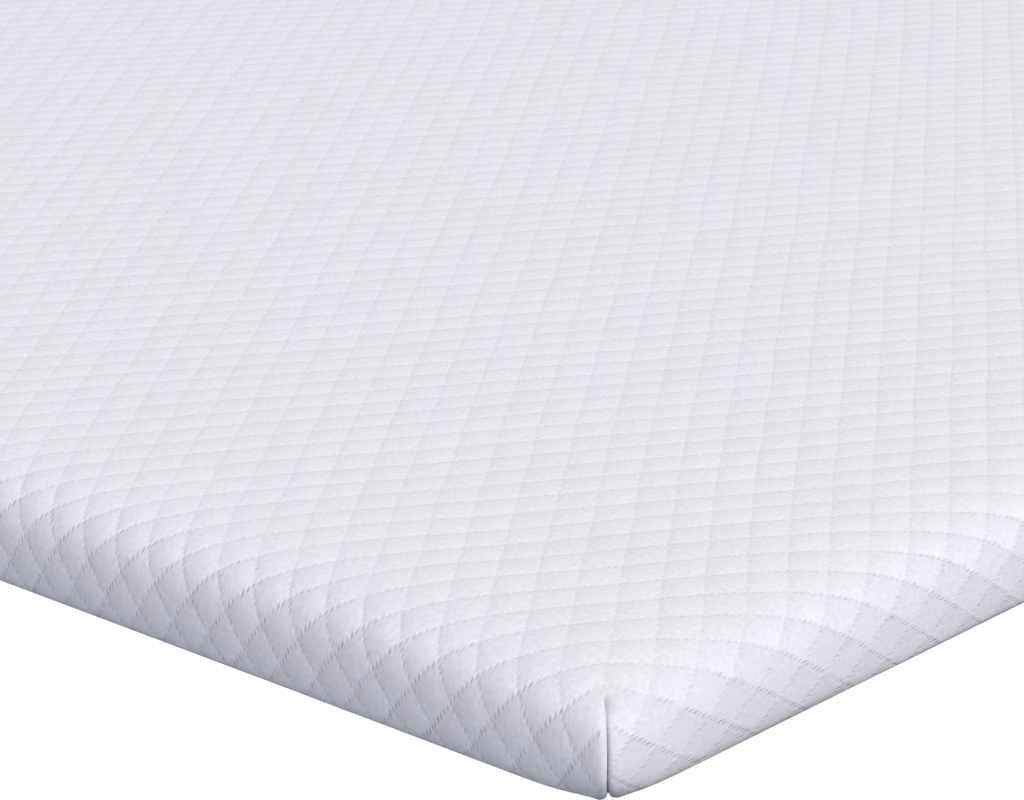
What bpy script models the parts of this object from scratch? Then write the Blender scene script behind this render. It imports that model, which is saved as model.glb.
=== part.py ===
"""Mattress topper: one filled pad in a diamond-quilted knit cover.

The cover's top panel runs over rounded shoulders and down the four sides in one piece, and each
corner is closed by an upright sewn dart. The pad is a grid of quilting cells whose border is drawn
down in rings: over the shoulder, down the side and round the foot to a flat underside.

Metres, +Z up. The origin lies under the middle of the pad, on the plane that it rests on. The
length runs along Y, the width along X.
"""

import math

import bmesh
import bpy

# Overall size
WIDTH = 1.400
LENGTH = 2.000
HEIGHT = 0.050

# The sides seen from above: drawn in a little between the corners
SIDE_DRAW_IN = 0.003
DRAW_IN_REACH = 0.150

# The shoulder, from the level top to the upright side, as a superellipse
SHOULDER_REACH = 0.060
SHOULDER_FALL = 0.026
SHOULDER_POWER = 3.0

# The round under the side
FOOT_RADIUS = 0.012

# The filling gives way towards each corner
CORNER_DROOP = 0.006
DROOP_REACH = 0.060

# The darts: where a seam starts, in from both sides, and how far it is drawn in
SEAM_START_INSET = 0.015
SEAM_DEPTH = 0.0025
SEAM_HALF_WIDTH = 0.006
CORNER_ROUNDING = 0.002
CORNER_SPREAD_REACH = 0.040

# The quilting: cells across and along, two cells to a diamond, and the rise of a diamond
CELLS_ACROSS = 60
CELLS_ALONG = 60
QUILT_RISE = 0.003

# Half sizes of the pad before the quilting lifts it
HALF_WIDTH = (WIDTH - QUILT_RISE) / 2.0
HALF_LENGTH = (LENGTH - QUILT_RISE) / 2.0

# Rings below the top grid: two over the shoulder, one at its end, one at the side's foot, two round it
SHOULDER_RING_ANGLES = (math.radians(56.0), math.radians(71.0), math.radians(90.0))
FOOT_RING_ANGLES = (0.0, math.radians(48.0), math.radians(90.0))

# Cover finish
COVER_COLOUR = (0.78, 0.79, 0.84, 1.0)
COVER_ROUGHNESS = 0.85
COVER_METALLIC = 0.0


def remove_scene_objects():
    """Remove what the scene holds, so that only the pad stays in it."""
    for item in list(bpy.data.objects):
        bpy.data.objects.remove(item, do_unlink=True)


def make_cover_material():
    """Return the white knit of the cover."""
    material = bpy.data.materials.new("Quilted_Knit")
    material.use_nodes = True
    shader = material.node_tree.nodes["Principled BSDF"]
    shader.inputs["Base Color"].default_value = COVER_COLOUR
    shader.inputs["Roughness"].default_value = COVER_ROUGHNESS
    shader.inputs["Metallic"].default_value = COVER_METALLIC
    return material


def shoulder_fall(inset):
    """Return how far the top has fallen at this inset from the side, by the superellipse."""
    across = min(max(1.0 - inset / SHOULDER_REACH, 0.0), 1.0)
    return SHOULDER_FALL * (1.0 - (1.0 - across ** SHOULDER_POWER) ** (1.0 / SHOULDER_POWER))


def side_profile():
    """Return (inset, fall) of each ring, from the top grid's border down to the underside."""
    rings = [(SEAM_START_INSET, shoulder_fall(SEAM_START_INSET))]
    for angle in SHOULDER_RING_ANGLES:
        inset = SHOULDER_REACH * (1.0 - math.sin(angle) ** (2.0 / SHOULDER_POWER))
        rings.append((inset, shoulder_fall(inset)))
    for angle in FOOT_RING_ANGLES:
        inset = FOOT_RADIUS * (1.0 - math.cos(angle))
        rings.append((inset, HEIGHT - FOOT_RADIUS * (1.0 - math.sin(angle))))
    return rings


def draw_in(along, half_length):
    """Return how far a side lies inside its corners, at this place along it."""
    return SIDE_DRAW_IN * (1.0 - math.exp(-(half_length - abs(along)) / DRAW_IN_REACH))


def line_places(half_size, cells):
    """Return the places of the grid lines: the border, a narrow strip, and the even cells."""
    border = half_size - SEAM_START_INSET
    even_end = border - SEAM_HALF_WIDTH
    step = 2.0 * even_end / cells
    inner = [-even_end + step * number for number in range(cells + 1)]
    return [-border] + inner + [border], step


def quilt_height(across, along):
    """Return 0 on a stitch line and 1 in the middle of a diamond, for a place in cells."""
    rising = (across + along) / 2.0
    falling = (across - along) / 2.0
    off_line = min(abs(rising - round(rising)), abs(falling - round(falling)))
    return 2.0 * off_line


class PadSurface:
    """The pad's outer surface, as a place for each grid line crossing and each ring."""

    def __init__(self):
        self.places_x, self.step_x = line_places(HALF_WIDTH, CELLS_ACROSS)
        self.places_y, self.step_y = line_places(HALF_LENGTH, CELLS_ALONG)
        self.rings = side_profile()
        self.last_column = len(self.places_x) - 1
        self.last_row = len(self.places_y) - 1
        self.arcs = self.ring_arcs()

    def ring_arcs(self):
        """Return the length of cloth from the top grid's border down to each ring."""
        arcs = [0.0]
        for (inset_a, fall_a), (inset_b, fall_b) in zip(self.rings, self.rings[1:]):
            arcs.append(arcs[-1] + math.hypot(inset_b - inset_a, fall_b - fall_a))
        return arcs

    def top_height(self, x, y):
        """Return the height of the top at x, y, before the quilting."""
        inset_x = HALF_WIDTH - draw_in(y, HALF_LENGTH) - abs(x)
        inset_y = HALF_LENGTH - draw_in(x, HALF_WIDTH) - abs(y)
        fall = math.hypot(shoulder_fall(inset_x), shoulder_fall(inset_y))
        droop = CORNER_DROOP * math.exp(-(inset_x + inset_y) / DROOP_REACH)
        return HEIGHT - QUILT_RISE - fall - droop

    def top_place(self, column, row):
        """Return x, y, z where two lines of the top grid cross."""
        grid_x = self.places_x[column]
        grid_y = self.places_y[row]
        share_x = abs(grid_x) / self.places_x[-1]
        share_y = abs(grid_y) / self.places_y[-1]
        x = grid_x - math.copysign(share_x * draw_in(grid_y, HALF_LENGTH), grid_x)
        y = grid_y - math.copysign(share_y * draw_in(grid_x, HALF_WIDTH), grid_y)
        return x, y, self.top_height(x, y)

    def ring_place(self, column, row, ring):
        """Return x, y, z of a border crossing that is drawn down to this ring."""
        x, y, top = self.top_place(column, row)
        inset, fall = self.rings[ring]
        start_inset, start_fall = self.rings[0]
        outward = start_inset - inset
        share = (fall - start_fall) / (HEIGHT - start_fall)
        on_x_side = column in (0, self.last_column)
        on_y_side = row in (0, self.last_row)
        to_corner_x = self.places_x[-1] - abs(self.places_x[column])
        to_corner_y = self.places_y[-1] - abs(self.places_y[row])
        move_x = outward if on_x_side else outward * math.exp(-to_corner_x / CORNER_SPREAD_REACH)
        move_y = outward if on_y_side else outward * math.exp(-to_corner_y / CORNER_SPREAD_REACH)
        if on_x_side and on_y_side:
            move_x -= CORNER_ROUNDING + SEAM_DEPTH
            move_y -= CORNER_ROUNDING + SEAM_DEPTH
        x += math.copysign(move_x, x)
        y += math.copysign(move_y, y)
        return x, y, top * (1.0 - share)

    def rise(self, column, row, ring):
        """Return how far the quilting lifts this crossing off the surface."""
        if ring >= len(self.rings) - 2:
            return 0.0
        across = self.places_x[column] / self.step_x
        along = self.places_y[row] / self.step_y
        if column in (0, self.last_column):
            across += math.copysign(self.arcs[ring] / self.step_x, across)
        if row in (0, self.last_row):
            along += math.copysign(self.arcs[ring] / self.step_y, along)
        return QUILT_RISE * quilt_height(across, along)


def make_grid_with_rings(surface):
    """Return a mesh of the top grid and the rings, with each point's column, row and ring."""
    mesh = bmesh.new()
    layers = [mesh.verts.layers.int.new(name) for name in ("column", "row", "ring")]
    bmesh.ops.create_grid(mesh, x_segments=surface.last_column, y_segments=surface.last_row, size=0.5)
    for point in mesh.verts:
        point[layers[0]] = round((point.co.x + 0.5) * surface.last_column)
        point[layers[1]] = round((point.co.y + 0.5) * surface.last_row)
    for ring in range(1, len(surface.rings)):
        border = [edge for edge in mesh.edges if edge.is_boundary]
        drawn = bmesh.ops.extrude_edge_only(mesh, edges=border)
        for item in drawn["geom"]:
            if isinstance(item, bmesh.types.BMVert):
                item[layers[2]] = ring
    return mesh, layers


def place_points(mesh, layers, surface):
    """Put each point on the pad's surface, then lift it by the quilting along its normal."""
    column_layer, row_layer, ring_layer = layers
    rises = {}
    for point in mesh.verts:
        column, row, ring = point[column_layer], point[row_layer], point[ring_layer]
        if ring:
            point.co = surface.ring_place(column, row, ring)
        else:
            point.co = surface.top_place(column, row)
        rises[point] = surface.rise(column, row, ring)
    bmesh.ops.recalc_face_normals(mesh, faces=mesh.faces)
    mesh.normal_update()
    lifts = {point: point.normal * rise for point, rise in rises.items()}
    for point, lift in lifts.items():
        point.co += lift
    return rises


def fold_along_stitches(mesh, rises):
    """Split each four-sided face along the diagonal that lies lower, which is the stitch line."""
    for face in list(mesh.faces):
        first, second, third, fourth = face.verts
        if rises[first] + rises[third] <= rises[second] + rises[fourth]:
            bmesh.utils.face_split(face, first, third)
        else:
            bmesh.utils.face_split(face, second, fourth)


def close_underside(mesh):
    """Fill the last ring with one flat face, the underside that the pad rests on."""
    border = [edge for edge in mesh.edges if edge.is_boundary]
    bmesh.ops.contextual_create(mesh, geom=border)
    bmesh.ops.recalc_face_normals(mesh, faces=mesh.faces)


def make_topper(collection):
    """Build the pad as one closed body and link it to the collection."""
    surface = PadSurface()
    mesh, layers = make_grid_with_rings(surface)
    rises = place_points(mesh, layers, surface)
    fold_along_stitches(mesh, rises)
    close_underside(mesh)
    data = bpy.data.meshes.new("topper")
    mesh.to_mesh(data)
    mesh.free()
    data.shade_smooth()
    data.set_sharp_from_angle(angle=math.radians(40.0))
    data.materials.append(make_cover_material())
    topper = bpy.data.objects.new("topper", data)
    collection.objects.link(topper)


def main():
    """Build the mattress topper in its own collection."""
    remove_scene_objects()
    collection = bpy.data.collections.new("Mattress_Topper")
    bpy.context.scene.collection.children.link(collection)
    make_topper(collection)


main()
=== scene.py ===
"""Looks of the mattress topper: the diamond-quilted knit cover of one filled pad, and its studio.

The cover is one closed mesh. Its top panel is a grid that follows the stitch lines, so that each
line runs from point to point. Its four side panels go on from the grid's border over the shoulder,
down the side and round the foot, and meet in a sewn dart at each corner.

Metres, +Z up. Cloth places are measured along the cloth from the middle of the top: on the level
top they are the same as x and y, and past the shoulder they go on down the side.
"""

import logging
import math
from dataclasses import dataclass
from enum import Enum
from functools import partialmethod

import bpy
import numpy as np
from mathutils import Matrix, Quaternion, Vector


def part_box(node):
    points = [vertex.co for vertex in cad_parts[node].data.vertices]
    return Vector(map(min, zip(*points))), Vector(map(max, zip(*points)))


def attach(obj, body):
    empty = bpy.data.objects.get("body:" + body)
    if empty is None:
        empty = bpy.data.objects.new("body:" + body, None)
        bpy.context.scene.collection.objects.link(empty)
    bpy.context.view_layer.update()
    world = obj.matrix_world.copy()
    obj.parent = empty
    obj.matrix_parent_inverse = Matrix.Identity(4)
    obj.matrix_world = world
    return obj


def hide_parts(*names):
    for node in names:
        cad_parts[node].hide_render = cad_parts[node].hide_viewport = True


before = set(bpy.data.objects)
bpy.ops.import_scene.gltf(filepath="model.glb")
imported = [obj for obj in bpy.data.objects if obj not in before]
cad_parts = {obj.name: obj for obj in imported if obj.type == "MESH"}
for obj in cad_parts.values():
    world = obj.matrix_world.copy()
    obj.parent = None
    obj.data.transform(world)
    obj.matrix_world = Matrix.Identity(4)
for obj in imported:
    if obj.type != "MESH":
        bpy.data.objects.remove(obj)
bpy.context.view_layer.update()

Array = np.ndarray
Pair = tuple[float, float]
LOG = logging.getLogger("topper")
BODY = "root"
PAD_NODE = "topper"
FULL_TURN = 2.0 * math.pi
TINY = 1e-6


class Side(Enum):
    """The four sides: the direction that each faces, and the direction to its right from outside."""

    FRONT = ((0.0, -1.0), (1.0, 0.0))
    RIGHT = ((1.0, 0.0), (0.0, 1.0))
    BACK = ((0.0, 1.0), (-1.0, 0.0))
    LEFT = ((-1.0, 0.0), (0.0, -1.0))

    @property
    def axis(self) -> int:
        """Return the axis that the side faces along: 0 for X, 1 for Y."""
        return 0 if self in (Side.RIGHT, Side.LEFT) else 1

    @property
    def signs(self) -> Pair:
        """Return the signs of the outward and the rightward direction along their own axes."""
        return sum(self.value[0]), sum(self.value[1])

    def level(self, out: Array, right: Array) -> Array:
        """Return x and y, in the last axis, of places given outward and to the right."""
        outward, rightward = np.array(self.value)
        return outward * out[..., None] + rightward * right[..., None]


class DartEdge(Enum):
    """Which cloth of a corner's dart a panel's end is, seen from outside."""

    WRAPPED = "left of the seam, taken round the corner"
    STRAIGHT = "right of the seam"


def smooth_step(value: Array) -> Array:
    """Return 0 below 0, 1 above 1, and three squares less two cubes of the value between."""
    held = np.clip(value, 0.0, 1.0)
    return held * held * (3.0 - 2.0 * held)


def bell(*values: Array) -> Array:
    """Return a bell curve, which is e to the power of less the sum of the values' squares."""
    return np.exp(-sum(value**2 for value in values))


@dataclass(frozen=True)
class Quilting:
    """The stitch lines and the diamonds between them.

    A rising line is where across / width + along / length is whole, a falling line is where their
    difference is whole, with across and along measured from one crossing of two lines.
    """

    width: float = 0.020
    length: float = 0.020 * math.sqrt(2.0)
    cells: int = 4
    crossing_insets: Pair = (0.0244, 0.0207)
    rise: float = 0.0009
    fullness: float = 0.8
    unevenness: float = 0.14
    table_size: int = 512
    seed: int = 11

    @property
    def steps(self) -> Pair:
        """Return the grid's steps across and along the pad."""
        return self.width / self.cells, self.length / self.cells

    def lines(self, across: Array, along: Array) -> tuple[Array, Array]:
        """Return the numbers of the rising and the falling line through places, whole on a line."""
        return across / self.width + along / self.length, across / self.width - along / self.length

    def rise_at(self, rising: Array, falling: Array) -> Array:
        """Return how far the cloth stands off the surface.

        The height is the product of the sines of half a turn for each line number, to the power of
        the fullness, times the rise, times a factor near 1 that each diamond draws for itself.

        Args:
            rising: Rising line numbers.
            falling: Falling line numbers.

        Returns:
            Heights in metres, 0 on the stitch lines.
        """
        form = np.abs(np.sin(math.pi * rising)) * np.abs(np.sin(math.pi * falling))
        form = np.where(form < TINY, 0.0, form) ** self.fullness
        row, column = (np.floor(number).astype(int) % self.table_size for number in (rising, falling))
        table = np.random.default_rng(self.seed).uniform(-1.0, 1.0, (self.table_size, self.table_size))
        return self.rise * form * (1.0 + self.unevenness * table[row, column])


class EdgeProfile:
    """The pad's edge in section, as inset and fall for each length of cloth from the shoulder's start.

    The shoulder is a quarter of a superellipse. Below it the side leans in by a power of the share
    gone through the lean's span, and then turns under on a small arc that goes on from the lean.
    """

    REACH = 0.082
    FALL = 0.0325
    POWER = 3.9
    LEAN = 0.0021
    LEAN_SPAN = 0.0180
    LEAN_POWER = 2.0
    FOOT_RADIUS = 0.0056
    STEPS = 600
    SLOPE_STEP = 0.0005

    def __init__(self, height: float) -> None:
        """Work out the section.

        Args:
            height: Height of the top above the floor.
        """
        turn = np.linspace(0.0, math.pi / 2.0, self.STEPS)
        shoulder_inset = self.REACH * (1.0 - np.sin(turn) ** (2.0 / self.POWER))
        shoulder_fall = self.FALL * (1.0 - np.cos(turn) ** (2.0 / self.POWER))
        lean_angle = math.atan(self.LEAN_POWER * self.LEAN / self.LEAN_SPAN)
        foot_start = self.FOOT_RADIUS * (1.0 - math.sin(lean_angle))
        side_fall = np.linspace(self.FALL, height - foot_start, self.STEPS)[1:]
        fall = np.concatenate([shoulder_fall, side_fall])
        share = np.clip(1.0 - (height - foot_start - fall) / self.LEAN_SPAN, 0.0, 1.0)
        inset = np.concatenate([shoulder_inset, np.zeros(len(side_fall))])
        inset = inset + self.LEAN * share**self.LEAN_POWER
        turn = np.linspace(lean_angle, math.pi / 2.0, self.STEPS)[1:]
        foot_inset = self.LEAN + self.FOOT_RADIUS * (math.cos(lean_angle) - np.cos(turn))
        foot_fall = height - self.FOOT_RADIUS * (1.0 - np.sin(turn))
        self.inset = np.concatenate([inset, foot_inset])
        self.fall = np.concatenate([fall, foot_fall])
        steps = np.hypot(np.diff(self.inset), np.diff(self.fall))
        self.arc = np.concatenate([[0.0], np.cumsum(steps)])
        self.end = float(self.arc[-1])
        self.height = height

    def inset_at(self, arc: Array) -> Array:
        """Return the inset from the side; before the shoulder it grows as the cloth goes inward."""
        return np.where(arc < 0.0, self.REACH - arc, np.interp(arc, self.arc, self.inset))

    def fall_at(self, arc: Array) -> Array:
        """Return how far the cloth has fallen below the level top."""
        return np.interp(arc, self.arc, self.fall)

    def facing(self, arc: Array) -> tuple[Array, Array]:
        """Return how far the cloth's normal points outward and upward, from the section's slopes."""
        step = self.SLOPE_STEP
        held = np.clip(arc, step, self.end - step)
        outward = (self.fall_at(held + step) - self.fall_at(held - step)) / (2.0 * step)
        upward = (self.inset_at(held - step) - self.inset_at(held + step)) / (2.0 * step)
        size = np.maximum(np.hypot(outward, upward), TINY)
        return outward / size, upward / size

    def arc_at_inset(self, inset: float) -> float:
        """Return the length of cloth at an inset on the shoulder's upper half."""
        half = self.STEPS // 2
        return float(np.interp(-inset, -self.inset[:half], self.arc[:half]))


@dataclass
class PadShape:
    """The pad's outer form before the quilting lifts it, worked out from the frame's box.

    Each pair has a value for the sides across X and one for the sides across Y. Next to a corner
    its dart pulls the cloth over the edge. The pull is greatest at the corner, and falls as a bell
    curve along the edge and by an exponential inward.
    """

    half: Pair
    height: float
    quilting: Quilting = Quilting()
    side_draw_in: float = 0.0012
    draw_in_reach: float = 0.150
    corner_droop: float = 0.0033
    droop_reach: float = 0.095
    dart_inset: float = 0.0192
    corner_ease: float = 0.0033
    ease_reach: float = 0.013
    pull_along: Pair = (0.139, 0.131)
    pull_inward: Pair = (0.093, 0.073)

    def __post_init__(self) -> None:
        """Work out the level height, the grid lines and where the darts start."""
        self.level = self.height - self.quilting.rise
        self.profile = EdgeProfile(self.level)
        self.dart_arc = self.profile.arc_at_inset(self.dart_inset)
        inset_x, inset_y = self.quilting.crossing_insets
        step_x, step_y = self.quilting.steps
        crossing_x, crossing_y = self.half[0] - inset_x, -self.half[1] + inset_y
        columns = round(2.0 * crossing_x / step_x)
        rows = round(-2.0 * crossing_y / step_y)
        lines_x = crossing_x - step_x * np.arange(columns, -1, -1)
        lines_y = crossing_y + step_y * np.arange(rows + 1)
        self.crossing = (crossing_x, crossing_y)
        self.lines = (lines_x, lines_y)

    def border(self, axis: int, place: Array) -> Array:
        """Return how far from the middle the top grid's border lies, on the side of each place."""
        return np.where(place < 0.0, -self.lines[axis][0], self.lines[axis][-1])

    def edge(self, place: Array, other: Array, axis: int) -> tuple[Array, Array, Array]:
        """Return where cloth lies towards the nearer of two opposite sides.

        The cloth's length from the shoulder's start is its place less the shoulder's own place,
        plus the pull of the corner's dart, less an ease just above the dart that is a bell curve
        of the distance from the corner. The side itself bows in away from the corners by the
        draw-in times one less an exponential of the distance from the corner.

        Args:
            place: Cloth places along the axis that crosses the sides.
            other: Cloth places along the other axis.
            axis: The axis that crosses the sides.

        Returns:
            The side's plane, the cloth's length from the shoulder's start, and the sign of the side.
        """
        start = self.half[axis] - self.profile.REACH
        border = self.border(axis, place)
        to_corner = np.maximum(self.border(1 - axis, other) - np.abs(other), 0.0)
        inward = np.maximum(border - np.abs(place), 0.0)
        plane = self.half[axis] - self.side_draw_in * (1.0 - np.exp(-to_corner / self.draw_in_reach))
        most = self.dart_arc + self.corner_ease - (border - start)
        fade = np.exp(-((to_corner / self.pull_along[axis]) ** 2) - inward / self.pull_inward[axis])
        ease = self.corner_ease * np.exp(-(to_corner**2 + inward**2) / self.ease_reach**2)
        arc = np.abs(place) - (plane - self.profile.REACH) + most * fade - ease
        return plane, arc, np.where(place < 0.0, -1.0, 1.0)

    def top(self, place_x: Array, place_y: Array) -> Array:
        """Return the points of the top for cloth places on it.

        Height is the level less the root of the sum of squares of the two falls, less a droop
        that dies away by an exponential of the two insets' sum.

        Args:
            place_x: Cloth places across the pad.
            place_y: Cloth places along the pad.

        Returns:
            Points with their x, y and z in the last axis.
        """
        plane_x, arc_x, sign_x = self.edge(place_x, place_y, 0)
        plane_y, arc_y, sign_y = self.edge(place_y, place_x, 1)
        inset_x, inset_y = self.profile.inset_at(arc_x), self.profile.inset_at(arc_y)
        fall = np.hypot(self.profile.fall_at(arc_x), self.profile.fall_at(arc_y))
        droop = self.corner_droop * np.exp(-(inset_x + inset_y) / self.droop_reach)
        x, y = sign_x * (plane_x - inset_x), sign_y * (plane_y - inset_y)
        return np.stack([x, y, self.level - fall - droop], axis=-1)


@dataclass(frozen=True)
class CornerDart:
    """The upright seam that closes the cover at a corner.

    In plan the corner is a small round. The cloth left of the seam goes part of the way round it
    and the cloth right of it the rest, and the two turn in at the seam, which leaves a narrow
    groove. The groove starts shallow below a pit and grows deeper downward. At the foot the two
    cloths draw in and lift to a notch.
    """

    rounding: float = 0.0078
    rounding_ramp: float = 0.012
    wrap: float = math.radians(48.0)
    column_places: tuple[float, ...] = (0.00012, 0.00040, 0.00075, 0.0012, 0.0020, 0.0034)
    column_ramp: float = 0.0030
    pucker_rows: tuple[float, ...] = (0.0017, 0.0026, 0.0031, 0.0043, 0.0058, 0.0082)
    pucker_spread: float = 0.012
    seam_start: float = 0.0030
    opening_arc: float = 0.0012
    depth: float = 0.0030
    top_depth: float = 0.0007
    depth_ramp: float = 0.018
    wrapped_width: float = 0.00045
    straight_width: float = 0.00055
    lip_height: float = 0.0008
    lip_place: float = 0.0027
    lip_width: float = 0.0016
    pit_depth: float = 0.0045
    pit_place: float = 0.0005
    pit_width: float = 0.0020
    pit_arc: float = 0.0017
    pit_reach: float = 0.0028
    tuck_depth: float = 0.0010
    tuck_width: float = 0.0032
    tuck_arc: float = 0.0055
    tuck_reach: float = 0.0050
    notch_lift: float = 0.0011
    notch_width: float = 0.0027
    heel_lift: float = 0.0001
    lift_reach: float = 0.026
    heel_inset_straight: float = 0.0036
    heel_inset_wrapped: float = 0.0050
    heel_reach: float = 0.0190
    heel_height: float = 0.0220
    quilting_gap: float = 0.0030

    def turn(self, edge: DartEdge) -> float:
        """Return the angle that a cloth goes round the corner before it reaches the seam."""
        return self.wrap if edge is DartEdge.WRAPPED else math.pi / 2.0 - self.wrap

    def dip(self, edge: DartEdge, away: Array, below: Array) -> Array:
        """Return how far the cloth lies inside the round corner.

        The groove is a bell curve of the distance from the seam. The wrapped cloth has a low lip
        beside it. The straight cloth has a pit at the seam's top and a shallow tuck below it, both
        bell curves of the distance from the seam and from the seam's top.

        Args:
            edge: Which cloth of the dart.
            away: Distances from the seam along the cloth.
            below: Lengths of cloth from the top panel's corner.

        Returns:
            Depths in metres.
        """
        below = below - self.seam_start
        opening = np.clip(below / self.opening_arc, 0.0, 1.0)
        depth = self.top_depth + (self.depth - self.top_depth) * smooth_step(below / self.depth_ramp)
        if edge is DartEdge.WRAPPED:
            groove = bell(away / self.wrapped_width)
            lip = self.lip_height * bell((away - self.lip_place) / self.lip_width)
            return opening * depth * groove - lip * smooth_step(below / self.rounding_ramp)
        groove = bell(away / self.straight_width)
        pit = bell((away - self.pit_place) / self.pit_width, (below - self.pit_arc) / self.pit_reach)
        tuck = bell(away / self.tuck_width, (below - self.tuck_arc) / self.tuck_reach)
        eased = smooth_step(below / self.tuck_arc)
        return opening * (depth * groove + self.pit_depth * pit) + eased * self.tuck_depth * tuck


@dataclass(frozen=True)
class Slip:
    """How the cloth of a side slips down and towards the seam near a corner.

    Below the corner's ease the cloth comes down by as much as the ease held it up. It also slips
    along the falling stitch lines, by a bell curve of the distance from the corner times a power
    of the depth below the border.
    """

    ease_depth: float = 0.012
    down: float = 0.0040
    reach: float = 0.046
    depth: float = 0.050
    power: float = 1.3

    def along_line(self, to_corner: Array, arcs: Array) -> Array:
        """Return how far the cloth slips down, at distances from the corner and below the border."""
        share = np.clip(arcs / self.depth, 0.0, 1.0) ** self.power
        return self.down * share * bell(to_corner / self.reach)


@dataclass
class Hang:
    """How the cloth of a side hangs: for each point its profile place and its cloth place.

    Attributes:
        arc: Length of cloth from the shoulder's start.
        plane: The side's plane.
        inset_along: Inset from the nearer end plane.
        height: Height of the border above.
        first_fall: The profile's fall at the border.
        cloth_out: Cloth place outward.
        drift: How far the cloth has moved towards the seam.
    """

    arc: Array
    plane: Array
    inset_along: Array
    height: Array
    first_fall: Array
    cloth_out: Array
    drift: Array


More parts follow.
